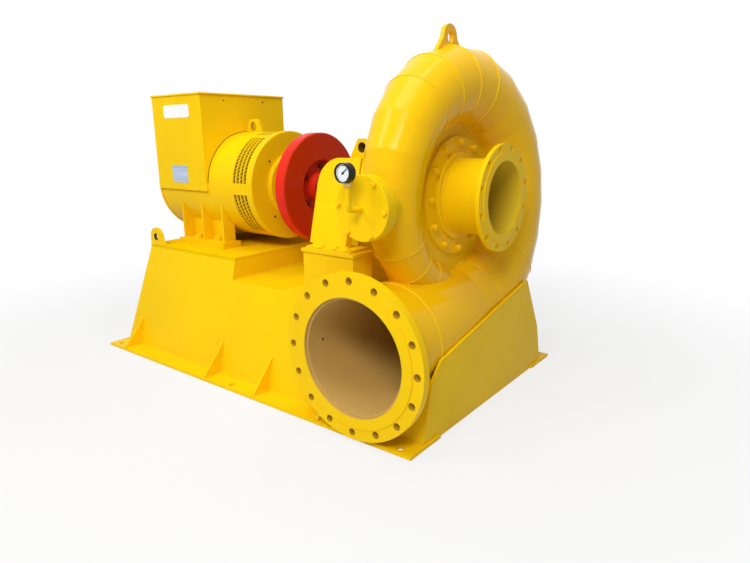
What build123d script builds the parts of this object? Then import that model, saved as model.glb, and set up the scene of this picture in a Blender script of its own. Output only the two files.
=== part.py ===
# Horizontal Francis turbine generating set on a welded skid.
# Units mm. X runs along the shaft from generator to draft tube, Z is up, the floor is z = 0.
import os
from math import cos, pi, radians, sin, sqrt

from build123d import *

os.makedirs("parts", exist_ok=True)

# Spiral casing: inlet pipe, circle its tubes lean on, tail end and mitred segments
PIPE_R = 203.0
SHELL_T = 8.0
CASING_CLEAR = 92.0
STAY_R = 249.0
START_SHIFT = 24.0
START_DEG = 60.0
TAIL_R = 83.0
TAIL_DEG = 345.0
SEGMENTS = 21
INLET_REACH = 575.0

# The casing stands on its inlet pipe, so the shaft height follows from it
INLET_Z = CASING_CLEAR + PIPE_R
SHAFT_Z = INLET_Z + PIPE_R + START_SHIFT + STAY_R

# Inlet flange
INLET_PCD_R = PIPE_R + 54.5
INLET_FLANGE_R = INLET_PCD_R + 25.0
INLET_FLANGE_T = 28.0
INLET_HOLES = 16
INLET_HOLE_R = 13.0
PIPE_SETBACK = 10.0

# Stay ring, covers and draft outlet
RING_IN_R = STAY_R - 49.0
RING_R = STAY_R + 31.0
RING_HALF = 40.0
RING_GATE = 25.0
VANES = 12
COVER_R = STAY_R - 32.0
COVER_T = 12.0
DRAFT_BORE_R = 130.0
DRAFT_WALL = 6.5
DRAFT_R = DRAFT_BORE_R + DRAFT_WALL
DRAFT_HUB_R = DRAFT_R + 23.0
DRAFT_HUB_T = 14.0
DRAFT_REACH = 239.0
DRAFT_PCD_R = DRAFT_BORE_R + 45.0
DRAFT_FLANGE_R = DRAFT_PCD_R + 14.0
DRAFT_FLANGE_T = 16.0
DRAFT_HOLES = 12
DRAFT_HOLE_R = 11.0

# Rotor and bearing
SHAFT_R = 40.0
RUN_FIT = 0.05
AIR_GAP = 6.0
FLY_R = 233.0
FLY_X0 = -684.0
FLY_X1 = -627.0
FLY_RECESS_R = 120.0
FLY_RECESS = 30.0
FLY_HUB_R = 66.0
RUNNER_GAP = 50.0
RUNNER_R = RING_IN_R - RUNNER_GAP
RUNNER_RIM = 10.0
RUNNER_WAIST_X = -15.0
RUNNER_BAND = 30.0
BAND_T = 8.0
BLADES = 13
BLADE_ROOT = 2.0
BEARING_X0 = -462.0
BEARING_X1 = -302.0
BEARING_R = 96.0
GLAND_REACH = 95.0
GLAND_NECK = 40.0
GLAND_FLARE = 20.0

# Generator
DRUM_R = 240.0
DRUM_GAP = 41.0
DRUM_X0 = -1485.0
DRUM_X1 = -844.0
DRUM_WALL = 22.0
BELL_R = DRUM_R + 3.0
BELL_T = 26.0
BOSS_R = DRUM_R - 95.0
BOSS_T = 18.0
BOX_X1 = -1114.0
BOX_HALF_Y = DRUM_R + 10.0
BOX_DROP = 22.0
BOX_RISE = 164.0
BOX_SHEET = 5.0
VENT_X1 = -864.0
VENT_PITCH = 23.4
VENT_COUNT = 4
VENT_W = 17.0
VENT_ARCS = ((-55.0, -7.0), (5.0, 63.0), (69.0, 111.0), (117.0, 175.0), (187.0, 235.0))
RAIL_H = 12.0
FOOT_T = 14.0
FOOT_X0 = -1354.0
FOOT_X1 = -1022.0
FOOT_IN_Y = 150.0
FOOT_OUT_Y = 252.0
RIB_OUT_Y = 227.0
RIB_X = (-1345.0, -1196.0, -1049.0)
RIB_T = 12.0

# Skid
SKID_X0 = -1566.0
LEFT_FOOT_X = SKID_X0 + 34.0
END_WALL_X = PIPE_R + 1.0
END_WALL_T = 10.0
SKID_X1 = END_WALL_X + END_WALL_T + 8.0
STRIP_T = 12.0
STRIP_OUT_Y = 556.0
STRIP_IN_Y = 375.0
PLATE_T = 14.0
WALL_FOOT_Y = 474.0
WALL_LEAN = 0.264
END_LEAN = 0.181
DECK_Z = SHAFT_Z - DRUM_R - DRUM_GAP
PIT_DROP = 92.0
PIT_Z = DECK_Z - PIT_DROP
DECK_END_X = -822.0
CROSS_WALL_X = -330.0
ANCHOR_X = (-1512.0, -675.0, 162.0)
ANCHOR_Y = 526.0
ANCHOR_R = 14.0
GUSSET_X = (-1432.0, -826.0, -522.0, -186.0)
GUSSET_T = 12.0
GUSSET_H = 128.0

# Bracket, inspection nozzle and gauge
POST_X0 = -316.0
POST_X1 = -86.0
POST_FRONT_Y = -450.0
POST_BACK_Y = -345.0
POST_TOP_Z = SHAFT_Z - 178.0
CAP_T = 12.0
CAP_LIP = 5.0
BRACKET_X0 = -337.0
BRACKET_X1 = -151.0
BRACKET_H = 307.0
BRACKET_ROUND = 90.0
BRACKET_T = 10.0
BRACKET_LEAN_DEG = 14.0
BRACKET_FOOT_X0 = -300.0
BRACKET_FOOT_X1 = -100.0
BRACKET_FOOT_T = 10.0
BRACKET_SETBACK = 68.0
COLUMN_X0 = -294.0
COLUMN_X1 = -142.0
COLUMN_H = 130.0
COLUMN_T = 30.0
NOZZLE_R = 80.0
NOZZLE_STAND = 44.0
NOZZLE_FLANGE_T = 22.0
BLIND_R = 105.0
BLIND_T = 22.0
GAUGE_OUT = 62.0
GAUGE_RISE = 114.0
GAUGE_R = 30.0
GAUGE_T = 30.0
GAUGE_LEAD = 26.0
GAUGE_PIPE_R = 9.0
BEND_R = 18.0

# The row's origin is on the floor, midway between the outer anchor holes
ROW_SHIFT_X = -(ANCHOR_X[0] + ANCHOR_X[-1]) / 2
FAR = 3 * STRIP_OUT_Y


def prism_yz(points, x0, x1):
    face = Plane.YZ.offset(x0) * make_face(Polyline(*points, close=True))
    return extrude(face, x1 - x0)


def prism_xz(points, y0, y1):
    face = Plane.XZ.offset(-y1) * make_face(Polyline(*points, close=True))
    return extrude(face, y1 - y0)


def block(x0, x1, y0, y1, z0, z1):
    centre = ((x0 + x1) / 2, (y0 + y1) / 2, (z0 + z1) / 2)
    return Pos(*centre) * Box(x1 - x0, y1 - y0, z1 - z0)


def rod(start, direction, radius, length):
    return extrude(Plane(origin=start, z_dir=direction) * Circle(radius), length)


def shaft_rod(radius, x0, x1):
    return rod((x0, 0, SHAFT_Z), (1, 0, 0), radius, x1 - x0)


def inlet_rod(radius, y0, y1):
    return rod((0, y0, INLET_Z), (0, 1, 0), radius, y1 - y0)


# A piece turned about the shaft line, from (x, radius) corners
def turned(profile):
    corners = [(x, SHAFT_Z + r) for x, r in profile]
    face = Plane.XZ * make_face(Polyline(*corners, close=True))
    return revolve(face, Axis((0, 0, SHAFT_Z), (1, 0, 0)), 360)


# Points round the shaft line, counted from the top
def round_shaft(radius, count, offset=0.0):
    turns = [radians(360 * (i + offset) / count) for i in range(count)]
    return [(radius * sin(a), SHAFT_Z + radius * cos(a)) for a in turns]


def save(shape, name):
    solids = shape.solids()
    if len(solids) != 1:
        print("WARNING", name, "has", len(solids), "solids")
    solid = Pos(ROW_SHIFT_X, 0, 0) * max(solids, key=lambda s: s.volume)
    export_step(solid, "parts/" + name + ".step")
    print(name, round(solid.volume / 1e6, 2))


# Long walls lean in more than the end wall
WALL_TOP = DECK_Z - PLATE_T
WALL_INSET = PLATE_T * sqrt(1 + WALL_LEAN ** 2)


def wall_y(z):
    return WALL_FOOT_Y - WALL_LEAN * (z - STRIP_T)


def inner_y(z):
    return wall_y(z) - WALL_INSET


def left_x(z):
    return LEFT_FOOT_X + END_LEAN * (z - STRIP_T)


def between_walls(z0, z1, x0, x1):
    corners = [(-inner_y(z0), z0), (inner_y(z0), z0), (inner_y(z1), z1), (-inner_y(z1), z1)]
    return prism_yz(corners, x0, x1)


# Room that the skid leaves round the inlet pipe and its flange
pipe_room = inlet_rod(PIPE_R + AIR_GAP, -FAR, 0)
flange_room = inlet_rod(
    INLET_FLANGE_R + AIR_GAP, -INLET_REACH - AIR_GAP, -INLET_REACH + INLET_FLANGE_T + AIR_GAP
)


# Foot strips with their gussets
def foot_strip(side):
    y_low, y_high = sorted((side * STRIP_IN_Y, side * STRIP_OUT_Y))
    strip = block(SKID_X0, SKID_X1, y_low, y_high, 0, STRIP_T)
    for x in ANCHOR_X:
        strip -= rod((x, side * ANCHOR_Y, -STRIP_T), (0, 0, 1), ANCHOR_R, 3 * STRIP_T)
    for x in GUSSET_X:
        top = STRIP_T + GUSSET_H
        profile = [
            (side * wall_y(STRIP_T), STRIP_T),
            (side * (STRIP_OUT_Y - GUSSET_T / 2), STRIP_T),
            (side * (STRIP_OUT_Y - GUSSET_T / 2), STRIP_T + GUSSET_T / 2),
            (side * (wall_y(top) + GUSSET_T / 2), top),
            (side * wall_y(top), top),
        ]
        strip += prism_yz(profile, x - GUSSET_T / 2, x + GUSSET_T / 2) - flange_room
    return strip


save(foot_strip(-1), "front_foot_strip")
save(foot_strip(1), "back_foot_strip")


# Leaning long walls
def long_wall(side, outline):
    lean = [
        (side * wall_y(STRIP_T), STRIP_T),
        (side * inner_y(STRIP_T), STRIP_T),
        (side * inner_y(WALL_TOP), WALL_TOP),
        (side * wall_y(WALL_TOP), WALL_TOP),
    ]
    return prism_yz(lean, LEFT_FOOT_X, END_WALL_X) & prism_xz(outline, -FAR, FAR)


RAMP_Z = PIT_Z + 40.0
SHOULDER_Z = INLET_Z - 83.0
CHAMFER_Z = INLET_Z - 23.0
END_TOP_Z = INLET_Z + 115.0
BACK_LOW_Z = INLET_Z - 115.0
front_outline = [
    (left_x(STRIP_T), STRIP_T),
    (END_WALL_X, STRIP_T),
    (END_WALL_X, SHOULDER_Z),
    (END_WALL_X - 54, CHAMFER_Z),
    (POST_X1, RAMP_Z),
    (POST_X0 - 84, RAMP_Z),
    (POST_X0 - 214, PIT_Z),
    (DECK_END_X, PIT_Z),
    (DECK_END_X, WALL_TOP),
    (left_x(WALL_TOP), WALL_TOP),
]
front_wall = long_wall(-1, front_outline) - pipe_room - flange_room
save(front_wall, "front_wall")

back_outline = [
    (left_x(STRIP_T), STRIP_T),
    (END_WALL_X, STRIP_T),
    (END_WALL_X, BACK_LOW_Z),
    (-PIPE_R - 22, BACK_LOW_Z),
    (CROSS_WALL_X + PLATE_T, PIT_Z),
    (DECK_END_X, PIT_Z),
    (DECK_END_X, WALL_TOP),
    (left_x(WALL_TOP), WALL_TOP),
]
save(long_wall(1, back_outline), "back_wall")

# End walls reach the floor between the strips
left_band = [
    (left_x(0), 0),
    (left_x(WALL_TOP), WALL_TOP),
    (left_x(WALL_TOP) + PLATE_T, WALL_TOP),
    (left_x(0) + PLATE_T, 0),
]


def wall_to_floor(top):
    half = [(STRIP_IN_Y, 0), (STRIP_IN_Y, STRIP_T), (inner_y(STRIP_T), STRIP_T), (inner_y(top), top)]
    return half + [(-y, z) for y, z in reversed(half)]


left_slab = prism_yz(wall_to_floor(WALL_TOP), SKID_X0 - PLATE_T, DRUM_X1)
save(prism_xz(left_band, -FAR, FAR) & left_slab, "left_end_wall")

right_area = [
    (-STRIP_IN_Y, 0), (STRIP_IN_Y, 0), (STRIP_IN_Y, STRIP_T), (wall_y(STRIP_T), STRIP_T),
    (wall_y(BACK_LOW_Z), BACK_LOW_Z), (wall_y(END_TOP_Z) - 70, END_TOP_Z),
    (-wall_y(CHAMFER_Z) + 40, CHAMFER_Z), (-wall_y(SHOULDER_Z), SHOULDER_Z),
    (-wall_y(STRIP_T), STRIP_T), (-STRIP_IN_Y, STRIP_T),
]
save(prism_yz(right_area, END_WALL_X, END_WALL_X + END_WALL_T), "right_end_wall")

# Decks and inner walls
DECK_Y = wall_y(WALL_TOP)
save(block(left_x(WALL_TOP), DECK_END_X, -DECK_Y, DECK_Y, WALL_TOP, DECK_Z), "generator_deck")
save(between_walls(PIT_Z, WALL_TOP, DECK_END_X - PLATE_T, DECK_END_X), "pit_wall")
pit_floor = between_walls(PIT_Z - PLATE_T, PIT_Z, DECK_END_X - PLATE_T, CROSS_WALL_X + PLATE_T)
save(pit_floor, "pit_floor")
cross_area = wall_to_floor(PIT_Z - PLATE_T)
save(prism_yz(cross_area, CROSS_WALL_X, CROSS_WALL_X + PLATE_T), "cross_wall")


# Lifting lugs at the skid's left corners: a plate with a round top and an eye, its foot longer on the right
LUG_T = 16.0
SKID_EYE_R = 17.0
SKID_LUG_R = 43.0
SKID_LUG_FOOT = 62.0


def corner_lug(x, y, foot_z, eye_z):
    half = SKID_LUG_R
    corners = [(x - half, foot_z), (x + SKID_LUG_FOOT, foot_z), (x + half, eye_z), (x - half, eye_z)]
    plate = prism_xz(corners, y - LUG_T / 2, y + LUG_T / 2)
    plate += rod((x, y - LUG_T / 2, eye_z), (0, 1, 0), SKID_LUG_R, LUG_T)
    plate -= block(x - FAR, x + FAR, -FAR, FAR, 0, foot_z)
    return plate - rod((x, y - LUG_T, eye_z), (0, 1, 0), SKID_EYE_R, 2 * LUG_T)


# Lugs with a flat top, from the half outline as (half width, z)
def flat_lug(x, half, eye_z, eye_r, thick):
    rim = [(x + w, z) for w, z in half] + [(x - w, z) for w, z in reversed(half)]
    return prism_xz(rim, -thick / 2, thick / 2) - rod((x, -thick, eye_z), (0, 1, 0), eye_r, 2 * thick)


SKID_EYE_X = left_x(WALL_TOP) + 46.0
SKID_EYE_Z = DECK_Z + 36.0
SKID_EYE_Y = DECK_Y - LUG_T / 2
save(corner_lug(SKID_EYE_X, -SKID_EYE_Y, DECK_Z, SKID_EYE_Z), "front_base_lug")
save(corner_lug(SKID_EYE_X, SKID_EYE_Y, DECK_Z, SKID_EYE_Z), "back_base_lug")

# Generator rails and ribbed feet
drum_solid = shaft_rod(DRUM_R, DRUM_X0, DRUM_X1)
RAIL_TOP = DECK_Z + RAIL_H
FOOT_TOP = RAIL_TOP + FOOT_T
for side, name in ((-1, "front"), (1, "back")):
    y_low, y_high = sorted((side * FOOT_IN_Y, side * (FOOT_OUT_Y + 6)))
    save(block(FOOT_X0 - 8, FOOT_X1 + 5, y_low, y_high, DECK_Z, RAIL_TOP), name + "_rail")
    y_low, y_high = sorted((side * FOOT_IN_Y, side * FOOT_OUT_Y))
    foot = block(FOOT_X0, FOOT_X1, y_low, y_high, RAIL_TOP, FOOT_TOP)
    y_web, y_rib = side * (FOOT_IN_Y + RIB_T), side * RIB_OUT_Y
    for x in RIB_X:
        foot += block(x - RIB_T / 2, x + RIB_T / 2, *sorted((y_web, y_rib)), FOOT_TOP, SHAFT_Z)
    foot += block(RIB_X[0], RIB_X[-1], *sorted((y_web, y_web + side * RIB_T)), FOOT_TOP, SHAFT_Z)
    foot -= drum_solid
    lower = [s for s in foot.solids() if s.bounding_box().min.Z < FOOT_TOP]
    save(lower[0], "generator_" + name + "_foot")


# Generator frame with the arcs of vent slots, angles from the front side upwards
def arc_cut(x, start_deg, end_deg):
    mid = radians((start_deg + end_deg) / 2)
    half = radians((end_deg - start_deg) / 2)
    reach = 1.1 * DRUM_R / cos(half)
    fan = [(0, SHAFT_Z)]
    for a in (mid - half, mid, mid + half):
        fan.append((-reach * cos(a), SHAFT_Z + reach * sin(a)))
    return prism_yz(fan, x - VENT_W / 2, x + VENT_W / 2)


frame = drum_solid - shaft_rod(DRUM_R - DRUM_WALL, DRUM_X0 - 1, DRUM_X1 + 1)
for i in range(VENT_COUNT):
    for start, end in VENT_ARCS:
        frame -= arc_cut(VENT_X1 - i * VENT_PITCH, start, end)
save(frame, "generator_frame")

BELL_FACE_X = DRUM_X1 + BELL_T
BOSS_FACE_X = BELL_FACE_X + BOSS_T
EDGE = 5.0
bell = turned([
    (DRUM_X1, SHAFT_R + AIR_GAP), (DRUM_X1, BELL_R), (BELL_FACE_X - EDGE, BELL_R),
    (BELL_FACE_X, BELL_R - EDGE), (BELL_FACE_X, BOSS_R), (BOSS_FACE_X - EDGE, BOSS_R),
    (BOSS_FACE_X, BOSS_R - EDGE), (BOSS_FACE_X, SHAFT_R + AIR_GAP),
])
save(bell, "drive_end_bell")
rear = turned([
    (DRUM_X0, 0), (DRUM_X0, BELL_R), (DRUM_X0 - BOSS_T + EDGE, BELL_R), (DRUM_X0 - BOSS_T, BELL_R - EDGE),
    (DRUM_X0 - BOSS_T, BOSS_R), (DRUM_X0 - 2 * BOSS_T, BOSS_R - 2 * EDGE), (DRUM_X0 - 2 * BOSS_T, 0),
])
save(rear, "rear_end_bell")

# Terminal box straddling the generator
BOX_LOW_Z = SHAFT_Z - BOX_DROP
BOX_TOP_Z = SHAFT_Z + DRUM_R + BOX_RISE
box = block(DRUM_X0, BOX_X1, -BOX_HALF_Y, BOX_HALF_Y, BOX_LOW_Z, BOX_TOP_Z)
inside_y = BOX_HALF_Y - BOX_SHEET
box -= block(DRUM_X0 + BOX_SHEET, BOX_X1 - BOX_SHEET, -inside_y, inside_y, BOX_LOW_Z - 1, BOX_TOP_Z + 1)
save(box - drum_solid, "terminal_box")
lid_y = BOX_HALF_Y + BOX_SHEET
lid = block(DRUM_X0 - BOX_SHEET, BOX_X1 + BOX_SHEET, -lid_y, lid_y, BOX_TOP_Z, BOX_TOP_Z + 8)
save(chamfer(lid.faces().sort_by(Axis.Z)[-1].edges(), 3), "terminal_box_lid")
GEN_EYE_X = BOX_X1 + 66.0
DRUM_TOP_Z = SHAFT_Z + DRUM_R
GEN_EYE_Z = DRUM_TOP_Z + 25.0
GEN_EYE_R = 21.0
gen_half = [
    (49, DRUM_TOP_Z - 5), (GEN_EYE_R + 13, GEN_EYE_Z + 20), (GEN_EYE_R + 2, GEN_EYE_Z + 33),
]
gen_lug = flat_lug(GEN_EYE_X, gen_half, GEN_EYE_Z, GEN_EYE_R, LUG_T) - drum_solid
save(gen_lug, "generator_lug")

# Shaft and flywheel
save(shaft_rod(SHAFT_R, BOSS_FACE_X - BOSS_T - 12, 0), "shaft")
FLY_FLOOR_X = FLY_X1 - FLY_RECESS
flywheel = turned([
    (FLY_X0, SHAFT_R), (FLY_X0, FLY_R - EDGE), (FLY_X0 + EDGE, FLY_R), (FLY_X1 - EDGE, FLY_R),
    (FLY_X1, FLY_R - EDGE), (FLY_X1, FLY_RECESS_R), (FLY_FLOOR_X, FLY_RECESS_R - EDGE),
    (FLY_FLOOR_X, FLY_HUB_R), (FLY_X1 + 2 * EDGE, FLY_HUB_R - EDGE), (FLY_X1 + 2 * EDGE, SHAFT_R),
])
save(flywheel, "flywheel")

# Francis runner: crown with nose, outlet band and curved blades
BAND_X0 = RING_HALF - RUNNER_BAND
RUNNER_X0 = -RING_HALF + AIR_GAP
RUNNER_X1 = RING_HALF - AIR_GAP
OUTLET_R = DRAFT_BORE_R - AIR_GAP
crown = turned([
    (RUNNER_X0, SHAFT_R), (RUNNER_X0, RUNNER_R), (RUNNER_X0 + RUNNER_RIM, RUNNER_R),
    (RUNNER_WAIST_X, 0.7 * RUNNER_R), (BAND_X0, 0.4 * RUNNER_R), (RUNNER_X1, 0.2 * RUNNER_R),
    (RUNNER_X1, 0), (0, 0), (0, SHAFT_R),
])
band = turned([
    (BAND_X0, RUNNER_R - BAND_T), (BAND_X0, RUNNER_R), (RUNNER_X1, OUTLET_R + BAND_T), (RUNNER_X1, OUTLET_R),
])


def blade_side(turn):
    stations = ((RUNNER_R - BLADE_ROOT, 0), (0.68 * RUNNER_R, 22), (0.33 * RUNNER_R, 60))
    return [(r * cos(radians(a + turn)), SHAFT_Z + r * sin(radians(a + turn))) for r, a in stations]


def blade(turn):
    near = blade_side(turn)
    far = blade_side(turn + 3)
    rim = [ThreePointArc(*near), Line(near[2], far[2]), ThreePointArc(*reversed(far)), Line(far[0], near[0])]
    depth = RUNNER_X1 - RUNNER_X0 - 2 * BLADE_ROOT
    return extrude(Plane.YZ.offset(RUNNER_X0 + BLADE_ROOT) * make_face(rim), depth)


blade_room = turned([
    (RUNNER_X0, 0), (RUNNER_X0, RUNNER_R), (BAND_X0, RUNNER_R),
    (RUNNER_X1, OUTLET_R + BAND_T), (RUNNER_X1, 0),
])
blades = [blade(360 * i / BLADES) for i in range(BLADES)]
wheel = (crown + band + blades) & blade_room
runner = wheel - shaft_rod(SHAFT_R, RUNNER_X0 - 1, 0)
save(runner, "runner")

# Bearing between flywheel and casing, with stepped end caps
CAP_R = BEARING_R - 16.0
BORE_R = SHAFT_R + RUN_FIT
housing = turned([
    (BEARING_X0, BORE_R), (BEARING_X0, CAP_R), (BEARING_X0 + 14, CAP_R), (BEARING_X0 + 14, BEARING_R),
    (BEARING_X1 - 14, BEARING_R), (BEARING_X1 - 14, CAP_R), (BEARING_X1, CAP_R), (BEARING_X1, BORE_R),
])
save(housing, "bearing_housing")
seat = SHAFT_Z - BEARING_R / 3
flare = [
    (-1.8 * BEARING_R, PIT_Z), (1.8 * BEARING_R, PIT_Z), (1.15 * BEARING_R, seat), (-1.15 * BEARING_R, seat),
]
pedestal = prism_yz(flare, BEARING_X0 + 16, BEARING_X1 - 16)
save(pedestal - shaft_rod(BEARING_R, BEARING_X0, BEARING_X1), "bearing_pedestal")
BEARING_EYE_X = (BEARING_X0 + BEARING_X1) / 2
BEARING_EYE_Z = SHAFT_Z + BEARING_R + 76
BEARING_EYE_R = 21.0
BEARING_LUG_T = 50.0
bearing_half = [
    (66, SHAFT_Z + BEARING_R - 6), (66, BEARING_EYE_Z - 46),
    (BEARING_EYE_R + 5, BEARING_EYE_Z + 27), (BEARING_EYE_R - 3, BEARING_EYE_Z + 35),
]
bearing_lug = flat_lug(BEARING_EYE_X, bearing_half, BEARING_EYE_Z, BEARING_EYE_R, BEARING_LUG_T)
save(bearing_lug - shaft_rod(BEARING_R, BEARING_X0, BEARING_X1), "bearing_lug")


# Spiral casing: tapering mitred segments, each a ruled loft between two circles
def spiral_radius(deg):
    return (PIPE_R + TAIL_R) / 2 + (PIPE_R - TAIL_R) / 2 * cos(pi * deg / TAIL_DEG)


def spiral_centre_r(deg):
    return STAY_R + spiral_radius(deg) + START_SHIFT * max(0.0, 1 - deg / START_DEG)


def spiral_section(deg, trim):
    a = radians(deg)
    reach = spiral_centre_r(deg)
    plane = Plane(
        origin=(0, reach * sin(a), SHAFT_Z - reach * cos(a)),
        x_dir=(1, 0, 0),
        z_dir=(0, cos(a), sin(a)),
    )
    return plane * Circle(spiral_radius(deg) - trim)


def spiral_run(first, last, trim):
    step = TAIL_DEG / SEGMENTS
    rims = [spiral_section(i * step, trim) for i in range(first, last + 1)]
    pieces = [loft([near, far], ruled=True) for near, far in zip(rims, rims[1:])]
    return pieces[0] + pieces[1:]


# Straight inlet and four welded runs of segments, the last landing on the inlet behind a closing plate
PIPE_END_Y = -INLET_REACH + PIPE_SETBACK
pipe_outer = inlet_rod(PIPE_R, PIPE_END_Y, 0)
lower_run = spiral_run(0, 3, 0)
back_run = spiral_run(3, 8, 0)
top_run = spiral_run(8, 13, 0)
front_run = spiral_run(13, SEGMENTS, 0)
scroll_outer = pipe_outer + [lower_run, back_run, top_run, front_run]
water_room = spiral_run(0, SEGMENTS, SHELL_T) + inlet_rod(PIPE_R - SHELL_T, -FAR, 0)
ring_room = shaft_rod(RING_R, -RING_HALF, RING_HALF)
tail_plate = extrude(spiral_section(TAIL_DEG, 0), -SHELL_T)
save(pipe_outer - water_room - ring_room, "inlet_pipe")
save(lower_run - water_room - ring_room, "scroll_lower")
save(back_run - water_room - ring_room, "scroll_back")
save(top_run - water_room - ring_room, "scroll_top")
save(front_run - water_room + tail_plate - pipe_outer - lower_run - ring_room, "scroll_front")

# Slip-on flange, with the pipe's end set back inside it
flange = inlet_rod(INLET_FLANGE_R, -INLET_REACH, -INLET_REACH + INLET_FLANGE_T)
flange -= inlet_rod(PIPE_R, -FAR, 0)
for y, z in round_shaft(INLET_PCD_R, INLET_HOLES):
    hole_z = z - SHAFT_Z + INLET_Z
    flange -= rod((y, -INLET_REACH - 1, hole_z), (0, 1, 0), INLET_HOLE_R, 2 * INLET_FLANGE_T)
save(flange, "inlet_flange")

# Stay ring: two rims joined by lens-shaped vanes
ring = turned([
    (-RING_HALF, RING_IN_R), (-RING_HALF, RING_R), (-RING_GATE, RING_R), (-RING_GATE, RING_IN_R),
])
ring += turned([
    (RING_GATE, RING_IN_R), (RING_GATE, RING_R), (RING_HALF, RING_R), (RING_HALF, RING_IN_R),
])
VANE_IN = Vector(0, RING_IN_R + 6)
VANE_OUT = Vector(0, RING_R - 6).rotate(Axis.Z, 12)
vane_mid = (VANE_IN + VANE_OUT) / 2
vane_side = (VANE_OUT - VANE_IN).rotate(Axis.Z, 90).normalized() * 7
lens = make_face([
    ThreePointArc(VANE_IN, vane_mid + vane_side, VANE_OUT),
    ThreePointArc(VANE_OUT, vane_mid - vane_side, VANE_IN),
])
vane = extrude(Plane.YZ.offset(-RING_GATE - 1) * lens, 2 * RING_GATE + 2)
ring += [Pos(0, 0, SHAFT_Z) * (Rot(360 * i / VANES, 0, 0) * vane) for i in range(VANES)]
save(ring, "stay_ring")

# Draft side: cover with a raised hub, pipe and flange
COVER_X = RING_HALF + COVER_T
HUB_X = COVER_X + DRAFT_HUB_T
cover = turned([
    (RING_HALF, DRAFT_BORE_R), (RING_HALF, COVER_R), (COVER_X - 2, COVER_R), (COVER_X, COVER_R - 2),
    (COVER_X, DRAFT_HUB_R), (HUB_X - 3, DRAFT_HUB_R), (HUB_X, DRAFT_HUB_R - 3), (HUB_X, DRAFT_BORE_R),
])
save(cover, "draft_cover")
FLANGE_BACK_X = DRAFT_REACH - DRAFT_FLANGE_T
draft = shaft_rod(DRAFT_R, HUB_X, FLANGE_BACK_X) - shaft_rod(DRAFT_BORE_R, 0, DRAFT_REACH)
save(draft, "draft_tube")
draft_flange = shaft_rod(DRAFT_FLANGE_R, FLANGE_BACK_X, DRAFT_REACH)
draft_flange -= shaft_rod(DRAFT_BORE_R, 0, 2 * DRAFT_REACH)
for y, z in round_shaft(DRAFT_PCD_R, DRAFT_HOLES, 0.5):
    draft_flange -= rod((FLANGE_BACK_X - 1, y, z), (1, 0, 0), DRAFT_HOLE_R, 2 * DRAFT_FLANGE_T)
save(draft_flange, "draft_flange")

# Shaft side: cover with a stepped gland
GLAND_X = -COVER_X - GLAND_REACH
gland_bore = SHAFT_R + AIR_GAP
shaft_side = turned([
    (-RING_HALF, gland_bore), (-RING_HALF, COVER_R), (-COVER_X, COVER_R), (-COVER_X, BEARING_R + GLAND_FLARE),
    (GLAND_X + GLAND_NECK, BEARING_R), (GLAND_X + GLAND_NECK, CAP_R), (GLAND_X, CAP_R), (GLAND_X, gland_bore),
])
save(shaft_side, "shaft_side_cover")

# Lifting plate on top of the casing, across the shaft
SCROLL_TOP_Z = SHAFT_Z + spiral_centre_r(180) + spiral_radius(180)
SCROLL_EYE_Y = 0.0
SCROLL_EYE_Z = SCROLL_TOP_Z + 26.0
EYE_R = 19.0
HORN_R = 45.0
HORN_FOOT = 2.6 * HORN_R
foot_z = SCROLL_TOP_Z - 60
horn = [
    (SCROLL_EYE_Y - HORN_FOOT, foot_z), (SCROLL_EYE_Y + HORN_FOOT, foot_z),
    (SCROLL_EYE_Y + HORN_R, SCROLL_EYE_Z), (SCROLL_EYE_Y - HORN_R, SCROLL_EYE_Z),
]
top_lug = prism_yz(horn, -LUG_T / 2, LUG_T / 2)
top_lug += rod((-LUG_T / 2, SCROLL_EYE_Y, SCROLL_EYE_Z), (1, 0, 0), HORN_R, LUG_T)
top_lug -= rod((-LUG_T, SCROLL_EYE_Y, SCROLL_EYE_Z), (1, 0, 0), EYE_R, 2 * LUG_T)
top_lug = top_lug - scroll_outer
save(max(top_lug.solids(), key=lambda s: s.center().Z), "scroll_lug")

# Inspection nozzle and its blind flange
SCROLL_FRONT_Y = -spiral_centre_r(270) - spiral_radius(270)
NOZZLE_Y = SCROLL_FRONT_Y - NOZZLE_STAND
nozzle = rod((0, NOZZLE_Y, SHAFT_Z), (0, 1, 0), NOZZLE_R, NOZZLE_STAND + spiral_radius(270))
nozzle += rod((0, NOZZLE_Y, SHAFT_Z), (0, 1, 0), BLIND_R, NOZZLE_FLANGE_T)
nozzle = nozzle - scroll_outer
save(min(nozzle.solids(), key=lambda s: s.center().Y), "inspection_nozzle")
BLIND_Y = NOZZLE_Y - BLIND_T
blind = rod((0, BLIND_Y, SHAFT_Z), (0, 1, 0), BLIND_R, BLIND_T)
save(chamfer(blind.faces().sort_by(Axis.Y)[0].edges(), 2), "blind_flange")

# Pressure gauge on a bent pipe
GAUGE_Y = BLIND_Y - GAUGE_OUT
GAUGE_Z = SHAFT_Z + GAUGE_RISE
bend_mid = BEND_R * (1 - sqrt(0.5))
pipe_path = Line((0, BLIND_Y, SHAFT_Z), (0, GAUGE_Y + BEND_R, SHAFT_Z))
pipe_path += ThreePointArc(
    (0, GAUGE_Y + BEND_R, SHAFT_Z),
    (0, GAUGE_Y + bend_mid, SHAFT_Z + bend_mid),
    (0, GAUGE_Y, SHAFT_Z + BEND_R),
)
pipe_path += Line((0, GAUGE_Y, SHAFT_Z + BEND_R), (0, GAUGE_Y, GAUGE_Z - GAUGE_R))
pipe_start = Plane(origin=(0, BLIND_Y, SHAFT_Z), z_dir=(0, -1, 0))
gauge_face_y = GAUGE_Y - GAUGE_LEAD
gauge_body = rod((0, gauge_face_y, GAUGE_Z), (0, 1, 0), GAUGE_R, GAUGE_T)
save(sweep(pipe_start * Circle(GAUGE_PIPE_R), pipe_path) - gauge_body, "gauge_pipe")
dial_r = GAUGE_R - 3.5
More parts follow.
